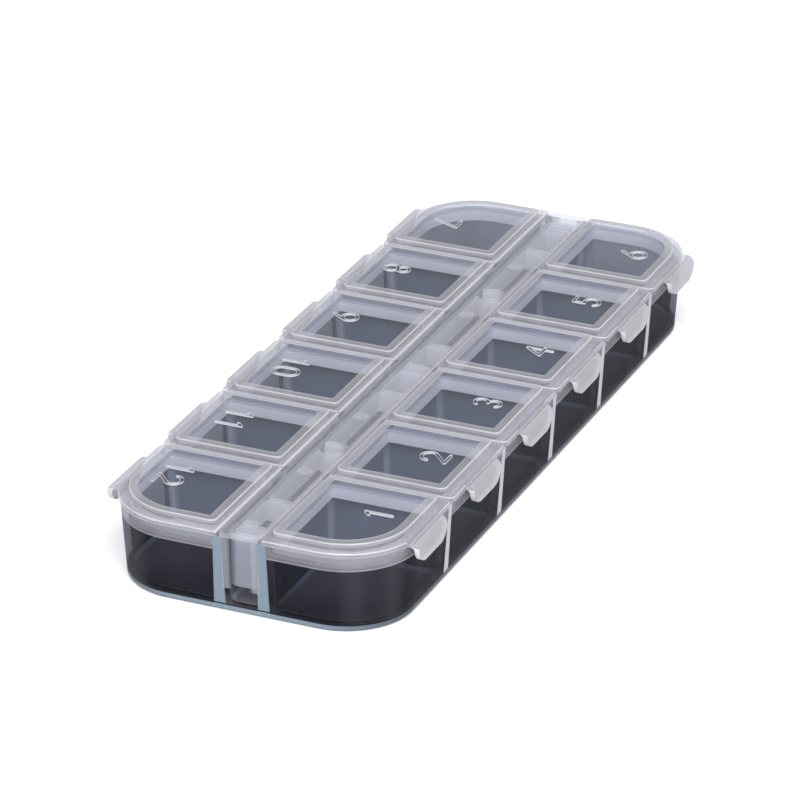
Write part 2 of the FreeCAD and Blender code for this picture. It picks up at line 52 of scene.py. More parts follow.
# %% [markdown]
# A few small helpers carry the whole file. Colours are written as sRGB hex, the way
# a colour picker shows them, and become linear numbers in one place. Shader trees
# are long lists of nodes, so one function adds a node, its settings and whatever
# feeds its inputs: a node, a socket, or a plain number. A Mix node's inputs are
# known by number: 0 is the mask, 2 and 3 are its two numbers, 6 and 7 its colours,
# and a mixed colour leaves by output 2.

# %% Helpers for colours and nodes
WHITE = "#FFFFFF"


def linear(code):
    """A hex colour as linear RGBA: the sRGB curve undone for each channel."""
    channels = [int(code[i:i + 2], 16) / 255 for i in (1, 3, 5)]
    return [c / 12.92 if c <= 0.04045 else ((c + 0.055) / 1.055) ** 2.4 for c in channels] + [1.0]


def add(tree, kind, feeds, **settings):
    """Add a node. feeds maps an input's name or number to a node, a socket or a value."""
    node = tree.nodes.new(f"ShaderNode{kind}")
    for name, value in settings.items():
        setattr(node, name, value)
    for key, source in feeds.items():
        if isinstance(source, bpy.types.Node):
            source = source.outputs[0]
        if isinstance(source, bpy.types.NodeSocket):
            tree.links.new(source, node.inputs[key])
        else:
            node.inputs[key].default_value = source
    return node


def new_material(name):
    """An empty node material and its tree."""
    material = bpy.data.materials.new(name)
    material.use_nodes = True
    material.node_tree.nodes.clear()
    return material, material.node_tree


# %% [markdown]
# Both plastics shine more where they are seen at a slant. Blender's Fresnel node
# does that too, but inside a clear wall it takes the far face for the inner side
# of a block and, at a slant, makes it a full mirror. Schlick's short formula is
# alike from both sides, so it is worked out here from the Layer Weight node.

# %% Gloss by slant


def gloss_share(tree, straight, amount, feeds):
    """Schlick's rule, times amount: straight + (1 - straight) (1 - cos)^5."""
    slant = add(tree, "LayerWeight", {"Blend": 0.5, **feeds}).outputs["Facing"]
    fifth = add(tree, "Math", {0: slant, 1: 5.0}, operation="POWER")
    share = add(tree, "Math", {0: fifth, 1: 1 - straight, 2: straight}, operation="MULTIPLY_ADD")
    return add(tree, "Math", {0: share, 1: amount}, operation="MULTIPLY")


# %% [markdown]
# The lids and the strip are natural polypropylene, moulded without pigment. It
# scatters light a little, so a thin flat panel is nearly clear, while skirts and
# every rounded edge turn milky white; on the edges that white is partly painted
# light that gathers there. A volume would do that but renders slowly and can't be
# exported. Here the haze of a face, its share of milk over clear, is set by where
# the face lies. First come the heights that tell the faces apart.

# %% Heights on a lid
tray_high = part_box("tray")[1]
RIM_Z = tray_high.z / MM
FLANGE_TOP_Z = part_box("centre_strip")[1].z / MM
DIGIT_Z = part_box("lid_02")[1].z / MM
FLANGE_OVERHANG = 0.3
FLANGE_SIDE = tray_high.x / MM + FLANGE_OVERHANG
STRIP_HALF = 3.1
DIGIT_RAISE = 0.25
PANEL_SINK = 0.1
PANEL_THICK = 0.8
SKIRT_DEPTH = 1.9
panel_z = DIGIT_Z - DIGIT_RAISE
frame_z = panel_z + PANEL_SINK
ceiling_z = panel_z - PANEL_THICK
skirt_z = RIM_Z - SKIRT_DEPTH
print("panel", round(panel_z, 2), "frame", round(frame_z, 2), "skirt foot", round(skirt_z, 2))

# %% [markdown]
# A face is told apart by its place and by how level it is: 1 for a face that lies
# flat, 0 for one that stands upright. Object coordinates are metres, so they are
# scaled first: heights and sizes in the masks are millimetres.

# %% Find the faces of a lid
FACE_SLACK = 0.04
RIM_SLACK = 0.1
LID_LEVEL = (0.90, 0.97)
ROUND_MIDDLE = 0.55
ROUND_REACH = 0.33
TAB_SOFT = 0.1
EDGE_TURN = 0.3
MARK_DEPTH = 0.12


def lid_faces(tree):
    """Masks, 0 to 1, for the faces of lids and strip, by height, side and direction."""
    place = add(tree, "TexCoord", {})
    at = SimpleNamespace()
    at.millimetres = add(tree, "VectorMath", {0: place.outputs["Object"], "Scale": 1 / MM}, operation="SCALE")
    across, _, at.height = add(tree, "SeparateXYZ", {0: at.millimetres}).outputs
    turn_x, _, facing = add(tree, "SeparateXYZ", {0: place.outputs["Normal"]}).outputs
    level = add(tree, "Math", {0: facing}, operation="ABSOLUTE")
    flat = add(tree, "MapRange", {0: level, 1: LID_LEVEL[0], 2: LID_LEVEL[1], 3: 0.0, 4: 1.0})
    at.rounds = add(tree, "Math", {0: level, 1: ROUND_MIDDLE, 2: ROUND_REACH}, operation="COMPARE")
    faces = []
    for z in (panel_z, DIGIT_Z, ceiling_z, frame_z):
        near = add(tree, "Math", {0: at.height, 1: z, 2: FACE_SLACK}, operation="COMPARE")
        faces.append(add(tree, "Math", {0: near, 1: flat}, operation="MULTIPLY"))
    top, digit, ceiling, at.rim = faces
    upper = add(tree, "Math", {0: top, 1: digit}, operation="ADD")
    at.panel = add(tree, "Math", {0: upper, 1: ceiling}, operation="ADD")
    side = add(tree, "Math", {0: across}, operation="ABSOLUTE")
    at.tab = add(tree, "MapRange", {0: side, 1: FLANGE_SIDE - TAB_SOFT, 2: FLANGE_SIDE + TAB_SOFT,
                                    3: 0.0, 4: 1.0})
    edge_on = add(tree, "Math", {0: turn_x, 1: 0.0, 2: EDGE_TURN}, operation="COMPARE")
    hanging = add(tree, "Math", {0: at.height, 1: RIM_Z}, operation="LESS_THAN")
    at.outline = add(tree, "Math", {0: edge_on, 1: hanging}, operation="MULTIPLY")
    at.middle = add(tree, "Math", {0: side, 1: STRIP_HALF}, operation="LESS_THAN")
    at.raised = add(tree, "Math", {0: at.height, 1: RIM_Z - RIM_SLACK}, operation="GREATER_THAN")
    level_top = add(tree, "Math", {0: at.raised, 1: flat}, operation="MULTIPLY")
    at.plate = add(tree, "Math", {0: at.middle, 1: level_top}, operation="MULTIPLY")
    mark_z = FLANGE_TOP_Z - MARK_DEPTH
    at.mark = add(tree, "Math", {0: at.height, 1: mark_z, 2: FACE_SLACK}, operation="COMPARE")
    return at


# %% [markdown]
# A colour ramp by height gives each level of a lid its haze: a milky skirt with a
# white lower edge, a grey flange, a cloudier wall where the frame rises, and a white
# upper edge; the white edges are partly the plastic's milk and partly painted light
# gathered there. The faces that heights alone can't tell apart are laid over it.

# %% Haze of a lid by height
RAMP_LOW_Z = 3.0
RAMP_HIGH_Z = 15.0
FLANGE_HAZE = 0.25
RISE_HAZE = 0.45
WALL_HAZE = 0.92
# Full haze on the skirt's foot, the top edges and the tab's outline: partly milk, partly painted light
# gathered at the edge.
EDGE_HAZE = 1.0
EDGE_BELOW = 0.15
EDGE_HIGH = 0.2
EDGE_END = 0.3
RISE_START = 0.15
RISE_FULL = 0.2
HAZE_BY_HEIGHT = (
    (RAMP_LOW_Z, WALL_HAZE), (skirt_z - EDGE_BELOW, WALL_HAZE),
    (skirt_z, EDGE_HAZE), (skirt_z + EDGE_HIGH, EDGE_HAZE),
    (skirt_z + EDGE_END, WALL_HAZE), (RIM_Z - RIM_SLACK, WALL_HAZE),
    (RIM_Z, FLANGE_HAZE), (FLANGE_TOP_Z + RISE_START, FLANGE_HAZE),
    (FLANGE_TOP_Z + RISE_FULL, RISE_HAZE), (panel_z - RIM_SLACK, RISE_HAZE), (panel_z, EDGE_HAZE))
print("haze stops", len(HAZE_BY_HEIGHT))


def set_stops(ramp, stops, low, high):
    """Fill a colour ramp with grey stops, placed by real value between low and high."""
    elements = ramp.color_ramp.elements
    while len(elements) > 1:
        elements.remove(elements[-1])
    for index, (value, grey) in enumerate(stops):
        position = (value - low) / (high - low)
        stop = elements[0] if index == 0 else elements.new(position)
        stop.position = position
        stop.color = (grey, grey, grey, 1)


# %% Haze of a lid's faces
PANEL_HAZE = 0.02
STRIP_HAZE = 0.12
MARK_HAZE = 0.35
TAB_HAZE = 0.46
FRAME_HAZE = 0.30
RAIL_HAZE = 0.66
END_HAZE = 0.30
# Rounded faces: partly milk, partly painted light gathered at the edge.
ROUND_HAZE = 0.75
FLOW_SIZE = 5.56
FLOW_RANGE = (0.3, 0.7)
FLOW_CHANGE = (0.94, 1.04)


def lid_haze(tree, at):
    """Share of milk: a ramp by height, overlaid face by face, then made uneven by slow noise."""
    share = add(tree, "MapRange", {0: at.height, 1: RAMP_LOW_Z, 2: RAMP_HIGH_Z, 3: 0.0, 4: 1.0})
    haze = add(tree, "ValToRGB", {0: share})
    set_stops(haze, HAZE_BY_HEIGHT, RAMP_LOW_Z, RAMP_HIGH_Z)
    tab_haze = add(tree, "Mix", {0: at.outline, 2: TAB_HAZE, 3: EDGE_HAZE})
    rail_haze = add(tree, "Mix", {0: at.raised, 2: RAIL_HAZE, 3: END_HAZE})
    plate_haze = add(tree, "Mix", {0: at.mark, 2: STRIP_HAZE, 3: MARK_HAZE})
    layers = ((at.rim, FRAME_HAZE), (at.rounds, ROUND_HAZE), (at.tab, tab_haze),
              (at.middle, rail_haze), (at.panel, PANEL_HAZE), (at.plate, plate_haze))
    for mask, amount in layers:
        haze = add(tree, "Mix", {0: mask, 2: haze, 3: amount})
    flow = add(tree, "TexNoise", {"Vector": at.millimetres, "Scale": 1 / FLOW_SIZE, "Detail": 3.0})
    uneven = add(tree, "MapRange", {0: flow.outputs["Fac"], 1: FLOW_RANGE[0], 2: FLOW_RANGE[1],
                                    3: FLOW_CHANGE[0], 4: FLOW_CHANGE[1]})
    return add(tree, "Math", {0: haze, 1: uneven}, operation="MULTIPLY", use_clamp=True)


# %% [markdown]
# With the haze known, the plastic is a mix: clear where it is low, milk where it
# is high. The milk sends some light back and lets some through, so a skirt that is
# lit from behind is not dark. A faint orange-peel bump, as a moulding tool leaves,
# breaks up the gloss.

# %% Natural polypropylene of the lids and the strip
PANEL_SHINE = 0.3
EDGE_SHINE = 0.6
STRAIGHT_SHINE = 0.04
SHINE_ROUGHNESS = 0.12
MILK_ROUGHNESS = 0.35
MILK_SPECULAR = 0.2
THROUGH_SHARE = 0.4
PEEL_SIZE = 1.11
PEEL_DEPTH = 0.1
PEEL_STRENGTH = 0.1
HAZE_COLOUR = "#F2F0F3"
CLEAR_TINT = "#F4F6FA"
MILK_TINT = "#E4E6EC"
TAB_TINT = "#C6C8D0"


def natural_polypropylene():
    """Milk over a clear tint, by the haze of the place, under a soft gloss."""
    # Polypropylene without pigment, injection moulded in a polished tool. It gives the
    # eye clear panels, grey see-through flanges, and edges that look white, partly
    # painted light that gathers there.
    material, tree = new_material("natural_polypropylene")
    at = lid_faces(tree)
    peel = add(tree, "TexNoise", {"Vector": at.millimetres, "Scale": 1 / PEEL_SIZE, "Detail": 2.0})
    dents = add(tree, "Bump", {"Height": peel.outputs["Fac"], "Strength": PEEL_STRENGTH,
                               "Distance": PEEL_DEPTH * MM})
    thin = add(tree, "Math", {0: at.panel, 1: at.middle}, operation="MAXIMUM")
    tint = linear(MILK_TINT)
    for mask, code in ((thin, CLEAR_TINT), (at.tab, TAB_TINT)):
        tint = add(tree, "Mix", {0: mask, 6: tint, 7: linear(code)}, data_type="RGBA").outputs[2]
    clear = add(tree, "BsdfTransparent", {"Color": tint})
    scatter = add(tree, "BsdfPrincipled", {"Base Color": linear(HAZE_COLOUR), "Roughness": MILK_ROUGHNESS,
                                           "Specular IOR Level": MILK_SPECULAR, "Normal": dents})
    passing = add(tree, "BsdfTranslucent", {"Color": linear(HAZE_COLOUR), "Normal": dents})
    milk = add(tree, "MixShader", {0: THROUGH_SHARE, 1: scatter, 2: passing})
    body = add(tree, "MixShader", {0: lid_haze(tree, at), 1: clear, 2: milk})
    amount = add(tree, "Mix", {0: at.panel, 2: EDGE_SHINE, 3: PANEL_SHINE}).outputs[0]
    shine = gloss_share(tree, STRAIGHT_SHINE, amount, {"Normal": dents})
    gloss = add(tree, "BsdfGlossy", {"Color": linear(WHITE), "Roughness": SHINE_ROUGHNESS, "Normal": dents})
    surface = add(tree, "MixShader", {0: shine, 1: body, 2: gloss})
    add(tree, "OutputMaterial", {"Surface": surface})
    return material


lid_plastic = natural_polypropylene()
print(lid_plastic.name, len(lid_plastic.node_tree.nodes), "nodes")

# %% [markdown]
# The tray is polystyrene with a smoke tint. Its outer wall is half clear, so that
# the floor and the feet of the dividers show through it, while the inner walls are
# hazier. Light that enters such a plastic leaves it at its edges: the floor's rim
# and the ends of the inner walls, seen through the outer wall, glow pale, and that
# glow is painted here. Real glass nodes would bend the view and can't be exported
# as plain transparency, so these faces are found by their place too.

# %% Where the tray's walls lie
FLOOR_THICK = 1.0
FLOOR_BEVEL = 0.5
CHANNEL_HALF = 2.95
INNER_WALL = 1.2
OUTER_WALL = 1.0
END_EXTRA = 2.6
WALL_TAPER = 0.25
TRAY_TAPER = 0.8
RIM_CORNER = 11.4
CELLS = 6
LEG_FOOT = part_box("centre_strip")[0].z / MM
tray_half_x = tray_high.x / MM
tray_half_y = tray_high.y / MM
pitch = (2 * tray_half_y - 2 * END_EXTRA) / CELLS
wall_mid = CHANNEL_HALF + INNER_WALL / 2
print("tray half sizes", round(tray_half_x, 2), round(tray_half_y, 2), "pitch", round(pitch, 3))

# %% Find the faces of the tray
TRAY_LEVEL = (0.85, 0.95)
UPRIGHT_LEVEL = (0.2, 0.3)
FLOOR_SOFT = 0.1


def tray_faces(tree):
    """Places in mm, and masks for steep, upright and sloped faces, floor, ends and channel."""
    place = add(tree, "TexCoord", {})
    at = SimpleNamespace()
    millimetres = add(tree, "VectorMath", {0: place.outputs["Object"], "Scale": 1 / MM}, operation="SCALE")
    across, at.along, at.height = add(tree, "SeparateXYZ", {0: millimetres}).outputs
    at.turn_x, at.turn_y, facing = add(tree, "SeparateXYZ", {0: place.outputs["Normal"]}).outputs
    level = add(tree, "Math", {0: facing}, operation="ABSOLUTE")
    flat = add(tree, "MapRange", {0: level, 1: TRAY_LEVEL[0], 2: TRAY_LEVEL[1], 3: 0.0, 4: 1.0})
    at.upright = add(tree, "MapRange", {0: level, 1: UPRIGHT_LEVEL[0], 2: UPRIGHT_LEVEL[1], 3: 1.0, 4: 0.0})
    at.steep = add(tree, "Math", {0: 1.0, 1: flat}, operation="SUBTRACT")
    at.sloped = add(tree, "Math", {0: at.steep, 1: at.upright}, operation="SUBTRACT")
    low_z = FLOOR_THICK + FLOOR_SOFT
    low = add(tree, "MapRange", {0: at.height, 1: low_z, 2: low_z + FLOOR_SOFT, 3: 1.0, 4: 0.0})
    at.floor = add(tree, "Math", {0: flat, 1: low}, operation="MULTIPLY")
    at.side_x = add(tree, "Math", {0: across}, operation="ABSOLUTE")
    at.side_y = add(tree, "Math", {0: at.along}, operation="ABSOLUTE")
    lean = add(tree, "MapRange", {0: at.height, 1: 0.0, 2: RIM_Z, 3: TRAY_TAPER, 4: 0.0})
    at.rim_x = add(tree, "Math", {0: at.side_x, 1: lean}, operation="ADD")
    at.rim_y = add(tree, "Math", {0: at.side_y, 1: lean}, operation="ADD")
    at.end = add(tree, "Math", {0: at.rim_y, 1: tray_half_y - OUTER_WALL / 2}, operation="GREATER_THAN")
    sunk = add(tree, "MapRange", {0: at.height, 1: 0.0, 2: RIM_Z, 3: WALL_TAPER, 4: 0.0})
    at.half_wall = add(tree, "Math", {0: sunk, 1: INNER_WALL / 2}, operation="ADD")
    at.channel = add(tree, "Math", {0: at.side_x, 1: CHANNEL_HALF}, operation="LESS_THAN")
    return at


# %% Painted glow: pale bars where inner walls meet the outer wall


def wall_end_bars(tree, at):
    """Painted glow: pale strips on the outer wall, as wide as the channel walls and the dividers behind them.
    """
    channel_wall = add(tree, "Math", {0: at.side_x, 1: wall_mid, 2: at.half_wall}, operation="COMPARE")
    end_bar = add(tree, "Math", {0: at.end, 1: channel_wall}, operation="MULTIPLY")
    at_side = add(tree, "Math", {0: at.rim_x, 1: tray_half_x - OUTER_WALL / 2}, operation="GREATER_THAN")
    # The length folded at every pitch, and again at its half, is the way to the nearest divider.
    folded = add(tree, "Math", {0: at.along, 1: pitch}, operation="PINGPONG")
    nearest = add(tree, "Math", {0: folded, 1: pitch / 2}, operation="PINGPONG")
    divider = add(tree, "Math", {0: nearest, 1: at.half_wall}, operation="LESS_THAN")
    between = add(tree, "Math", {0: at.side_y, 1: (CELLS - 1) / 2 * pitch}, operation="LESS_THAN")
    side_bar = add(tree, "Math", {0: at_side, 1: divider}, operation="MULTIPLY")
    side_bar = add(tree, "Math", {0: side_bar, 1: between}, operation="MULTIPLY")
    bars = add(tree, "Math", {0: end_bar, 1: side_bar}, operation="MAXIMUM")
    return add(tree, "Math", {0: bars, 1: at.upright}, operation="MULTIPLY")


# %% Painted glow of the rim, feet and corners
BAND_SOFT = 0.05
FOOT_SHARE = 0.9
BEND_SHARE = 0.45
BEND_TURN = (0.25, 0.45)
CORNER_INSET = 12.0
CORNER_SPREAD = 9.0


def pale_edges(tree, at):
    """Painted glow where light leaves the tray: wall ends, the floor's rim, the feet and corners of
    compartments.
    """
    at.bars = wall_end_bars(tree, at)
    below = add(tree, "MapRange", {0: at.height, 1: FLOOR_THICK - BAND_SOFT, 2: FLOOR_THICK, 3: 1.0, 4: 0.0})
    at.band = add(tree, "Math", {0: below, 1: at.steep}, operation="MULTIPLY")
    half_bevel = FLOOR_BEVEL / 2
    crease_z = FLOOR_THICK + half_bevel
    crease = add(tree, "Math", {0: at.height, 1: crease_z, 2: half_bevel}, operation="COMPARE")
    at.foot = add(tree, "Math", {0: crease, 1: at.sloped}, operation="MULTIPLY")
    # A face turned half to X and half to Y, as in the middle of a rounded corner, has the largest product.
    turned = add(tree, "Math", {0: at.turn_x, 1: at.turn_y}, operation="MULTIPLY")
    turned = add(tree, "Math", {0: turned}, operation="ABSOLUTE")
    bend = add(tree, "MapRange", {0: turned, 1: BEND_TURN[0], 2: BEND_TURN[1], 3: 0.0, 4: BEND_SHARE})
    far = []
    for side, half in ((at.side_x, tray_half_x), (at.side_y, tray_half_y)):
        start = half - CORNER_INSET
        far.append(add(tree, "MapRange", {0: side, 1: start, 2: start + CORNER_SPREAD, 3: 0.0, 4: 1.0}))
    outer_corner = add(tree, "Math", {0: far[0], 1: far[1]}, operation="MULTIPLY")
    bend = add(tree, "Mix", {0: outer_corner, 2: bend, 3: 0.0})
    foot_pale = add(tree, "Math", {0: at.foot, 1: FOOT_SHARE}, operation="MULTIPLY")
    at.pale = at.bars
    for other in (at.band, foot_pale, bend):
        at.pale = add(tree, "Math", {0: at.pale, 1: other}, operation="MAXIMUM")


# %% [markdown]
# Three more places need a look of their own. The lit skirts of the lids hang just
# inside the outer wall, so a band below the rim is painted with their light: pale,
# with a painted bright line at its lower edge. The milky legs of the strip make the
# channel's walls next to them glow, and that glow is painted. And a thin dark line
# of painted shade runs above the floor, where the wall's foot hides the light.

# %% Painted skirt light, painted glow of the legs, painted dark line
INNER_FADE = (0.6, 0.2)
SKIRT_FADE = (-0.1, 0.4)
# Painted light of the lids' skirts behind the wall: a pale band with a bright line at its foot.
RUB_BELOW = 0.5
RUB_SOFT = 0.1
RUB_LOW_Z = skirt_z - RUB_BELOW
RUB_LINE_HALF = 0.12
LEG_REACH = 5.5
LEG_SPREAD = 0.12
LEG_SIDE = (1.2, 2.0)
SHADE_RISE = 0.15
SHADE_HALF = 0.12


def wall_zones(tree, at):
    """Masks: inner walls, by their way in from the rounded rim, open wall, band of painted skirt light and
    painted dark line.
    """
    corner = []
    for rim, half in ((at.rim_x, tray_half_x), (at.rim_y, tray_half_y)):
        corner.append(add(tree, "Math", {0: rim, 1: half - RIM_CORNER}, operation="SUBTRACT"))
    past = add(tree, "CombineXYZ", {0: corner[0], 1: corner[1]})
    past = add(tree, "VectorMath", {0: past, 1: (0.0, 0.0, 0.0)}, operation="MAXIMUM")
    reach = add(tree, "VectorMath", {0: past}, operation="LENGTH").outputs["Value"]
    inside = RIM_CORNER - OUTER_WALL
    at.inner = add(tree, "MapRange", {0: reach, 1: inside - INNER_FADE[0], 2: inside - INNER_FADE[1],
                                      3: 1.0, 4: 0.0})
    upper = add(tree, "MapRange", {0: at.height, 1: skirt_z + SKIRT_FADE[0], 2: skirt_z + SKIRT_FADE[1],
                                   3: 0.0, 4: 1.0})
    at.open_wall = add(tree, "Math", {0: upper, 1: at.channel}, operation="MAXIMUM")
    rubbed = add(tree, "MapRange", {0: at.height, 1: RUB_LOW_Z, 2: RUB_LOW_Z + RUB_SOFT, 3: 0.0, 4: 1.0})
    shell = add(tree, "Math", {0: at.upright, 1: at.inner}, operation="SUBTRACT", use_clamp=True)
    cells = add(tree, "Math", {0: 1.0, 1: at.channel}, operation="SUBTRACT")
    rubbed = add(tree, "Math", {0: rubbed, 1: shell}, operation="MULTIPLY")
    at.rubbed = add(tree, "Math", {0: rubbed, 1: cells}, operation="MULTIPLY")
    line_z = RUB_LOW_Z + RUB_LINE_HALF
    at.rub_line = add(tree, "Math", {0: at.height, 1: line_z, 2: RUB_LINE_HALF}, operation="COMPARE")
    shade_z = FLOOR_THICK + SHADE_RISE
    line = add(tree, "Math", {0: at.height, 1: shade_z, 2: SHADE_HALF}, operation="COMPARE")
    at.shade = add(tree, "Math", {0: line, 1: at.upright}, operation="MULTIPLY")


def leg_glow(tree, at):
    """The channel's walls near an end leg, and the outer wall beside it, above the leg's foot."""
    near_leg = add(tree, "Math", {0: at.side_y, 1: tray_half_y - LEG_REACH}, operation="GREATER_THAN")
    wide_wall = add(tree, "Math", {0: at.half_wall, 1: LEG_SPREAD}, operation="ADD")
    leg_wall = add(tree, "Math", {0: at.side_x, 1: wall_mid, 2: wide_wall}, operation="COMPARE")
    glow = add(tree, "Math", {0: near_leg, 1: leg_wall}, operation="MULTIPLY")
    not_bar = add(tree, "Math", {0: at.upright, 1: at.bars}, operation="SUBTRACT", use_clamp=True)
    glow = add(tree, "Math", {0: glow, 1: not_bar}, operation="MULTIPLY")
    beside = add(tree, "MapRange", {0: at.side_x, 1: LEG_SIDE[0], 2: LEG_SIDE[1], 3: 0.0, 4: 1.0})
    above_foot = add(tree, "Math", {0: at.height, 1: LEG_FOOT}, operation="GREATER_THAN")
    for mask in (at.channel, at.end, above_foot):
        beside = add(tree, "Math", {0: beside, 1: mask}, operation="MULTIPLY")
    return add(tree, "Math", {0: glow, 1: beside}, operation="MAXIMUM")


# %% [markdown]
# The tray's plastic is then built up like coats of paint: each mask lays its haze,
# tint or colour over what came before. Haze is the share of scattered light, tint
# is what the clear share lets through.

# %% Haze, tint and colour of smoke polystyrene
SHELL_HAZE = 0.06
INNER_HAZE = 0.4
OPEN_HAZE = 0.04
# Painted skirt light on the outer wall: a pale band and a brighter line at its foot.
RUB_HAZE = 0.33
RUB_LINE_HAZE = 0.62
GLOW_HAZE = 0.5
# Haze of the painted glow on the tray's edges.
PALE_HAZE = 0.85
FLOOR_HAZE = 0.8
SHADE_HAZE = 0.85
SHELL_TINT = "#A5A8B1"
WALL_TINT = "#8E929B"
CLEAR_WALL = "#F0F2F5"
FLOOR_TINT = "#5A626E"
WALL_COLOUR = "#4A474C"
INNER_COLOUR = "#8D9AB1"
RUB_COLOUR = "#B2B1BA"
FLOOR_COLOUR = "#A09DA2"
LEG_GLOW = "#A9ABB5"
SHADE_COLOUR = "#0E1014"
# Colours of the painted glow on the tray's edges.
END_EDGE = "#8496A7"
SIDE_EDGE = "#C4C8D0"
SIDE_BAND = "#555E69"
FOOT_COLOUR = "#D0D3DA"


def edge_colour(tree, at):
    """Colour of the painted glow: blue-grey on the ends, paler on the long sides, with a darker rim there and
    light feet.
    """
    sideways = add(tree, "Math", {0: at.turn_x}, operation="ABSOLUTE")
    side_edge = add(tree, "Mix", {0: at.band, 6: linear(SIDE_EDGE), 7: linear(SIDE_BAND)}, data_type="RGBA")
    edge = linear(END_EDGE)
    for mask, code in ((sideways, side_edge.outputs[2]), (at.foot, linear(FOOT_COLOUR))):
        edge = add(tree, "Mix", {0: mask, 6: edge, 7: code}, data_type="RGBA").outputs[2]
    return edge


def tray_coats(tree, at, glow):
    """The three mixes, each a start value with masks laid over it in turn."""
    # Painted skirt light: a hazier band with a brighter line at its foot.
    rub_haze = add(tree, "Mix", {0: at.rub_line, 2: RUB_HAZE, 3: RUB_LINE_HAZE})
    haze = SHELL_HAZE
    for mask, amount in ((at.inner, INNER_HAZE), (at.open_wall, OPEN_HAZE), (at.rubbed, rub_haze),
                         (glow, GLOW_HAZE), (at.pale, PALE_HAZE), (at.floor, FLOOR_HAZE),
                         (at.shade, SHADE_HAZE)):
        haze = add(tree, "Mix", {0: mask, 2: haze, 3: amount})
    tint = linear(SHELL_TINT)
    for mask, code in ((at.inner, WALL_TINT), (at.open_wall, CLEAR_WALL), (at.floor, FLOOR_TINT)):
        tint = add(tree, "Mix", {0: mask, 6: tint, 7: linear(code)}, data_type="RGBA").outputs[2]
    colour = linear(WALL_COLOUR)
    for mask, coat in ((at.inner, linear(INNER_COLOUR)), (at.rubbed, linear(RUB_COLOUR)),
                       (at.floor, linear(FLOOR_COLOUR)), (at.pale, edge_colour(tree, at)),
                       (glow, linear(LEG_GLOW)), (at.shade, linear(SHADE_COLOUR))):
        colour = add(tree, "Mix", {0: mask, 6: colour, 7: coat}, data_type="RGBA").outputs[2]
    return haze, tint, colour


# %% Smoke polystyrene of the tray
SMOKE_ROUGHNESS = 0.3
SMOKE_SPECULAR = 0.15
SMOKE_STRAIGHT_SHINE = 0.05
SMOKE_SHINE = 0.10
POLISH_ROUGHNESS = 0.05


def smoke_polystyrene():
    """A half-clear smoke shell, hazier inner walls and edges with a painted pale glow, under a smooth gloss.
    """
    # Polystyrene tinted grey, injection moulded in a polished tool. It gives the eye
    # depth behind half-clear walls, and edges that carry light, painted pale.
    material, tree = new_material("smoke_polystyrene")
    at = tray_faces(tree)
    pale_edges(tree, at)
    wall_zones(tree, at)
    haze, tint, colour = tray_coats(tree, at, leg_glow(tree, at))
    clear = add(tree, "BsdfTransparent", {"Color": tint})
    scatter = add(tree, "BsdfPrincipled", {"Base Color": colour, "Roughness": SMOKE_ROUGHNESS,
                                           "Specular IOR Level": SMOKE_SPECULAR})
    body = add(tree, "MixShader", {0: haze, 1: clear, 2: scatter})
    shine = gloss_share(tree, SMOKE_STRAIGHT_SHINE, SMOKE_SHINE, {})
    gloss = add(tree, "BsdfGlossy", {"Color": linear(WHITE), "Roughness": POLISH_ROUGHNESS})
    surface = add(tree, "MixShader", {0: shine, 1: body, 2: gloss})
    add(tree, "OutputMaterial", {"Surface": surface})
    return material


tray_plastic = smoke_polystyrene()
print(tray_plastic.name, len(tray_plastic.node_tree.nodes), "nodes")

# %% [markdown]
# The solids keep their meshes and places. Each only gets its plastic: the tray is
# one moulding, and everything that hangs over it is the other.

# %% Give the solids their plastics
for name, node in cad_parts.items():
    node.data.materials.clear()
    node.data.materials.append(tray_plastic if name == "tray" else lid_plastic)
    print(name, len(node.data.polygons), "triangles")

# %% [markdown]
# Each lid hangs on a film: a web so thin that it bends for thousands of openings.
# The CAD film is a straight box. The one made here is necked, thinnest at the
# hinge axis, and has enough rows across to bend smoothly when its lid swings.

# %% Shape of a necked hinge film
FILM_THICK = 0.16
FILM_ROOT = 0.30
FILM_ROWS = 12
FILM_STATIONS = 9


def film_surface(low, high):
    """A closed strip between two corners of its box.

    Across it, thickness is the neck's plus the square of the way to either edge. A
    loop runs along the top and back along the bottom, and is carried along Y.
    """
    way = np.linspace(-1, 1, FILM_ROWS + 1)
    x = (low.x + high.x) / 2 + way * (high.x - low.x) / 2
    half = (FILM_THICK + (FILM_ROOT - FILM_THICK) * way ** 2) * MM / 2
    middle = (low.z + high.z) / 2
    loop_x = np.concatenate([x, x[::-1]])
    loop_z = np.concatenate([middle + half, middle - half[::-1]])
    stations = np.linspace(low.y, high.y, FILM_STATIONS)
    count = len(loop_x)
    points = np.empty((FILM_STATIONS, count, 3))
    points[..., 0] = loop_x
    points[..., 1] = stations[:, None]
    points[..., 2] = loop_z
    index = np.arange(FILM_STATIONS * count).reshape(FILM_STATIONS, count)
    here, there = index[:-1], index[1:]
    sides = np.stack([here, np.roll(here, -1, 1), np.roll(there, -1, 1), there], -1).reshape(-1, 4)
    caps = [index[0, ::-1].tolist(), index[-1].tolist()]
    return points.reshape(-1, 3), sides.tolist() + caps


# %% Twelve films in place of the CAD hinge boxes
numbers = range(1, 2 * CELLS + 1)
for number in numbers:
    node_name = f"hinge_{number:02d}"
    low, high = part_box(node_name)
    points, faces = film_surface(low, high)
    mesh = bpy.data.meshes.new(f"film_{number:02d}")
    mesh.from_pydata(points.tolist(), [], faces)
    mesh.update()
    film = bpy.data.objects.new(f"film_{number:02d}", mesh)
    bpy.context.scene.collection.objects.link(film)
    film.data.materials.append(lid_plastic)
    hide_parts(node_name)
    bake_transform(film)
print("films", len(numbers), "each", len(faces), "faces")

# %% [markdown]
# A plain floor of white paper keeps the object's shadow. The photograph's ground is
# white, so the paper glows a little for the camera alone, and the lamp can stay at
# a plain level.

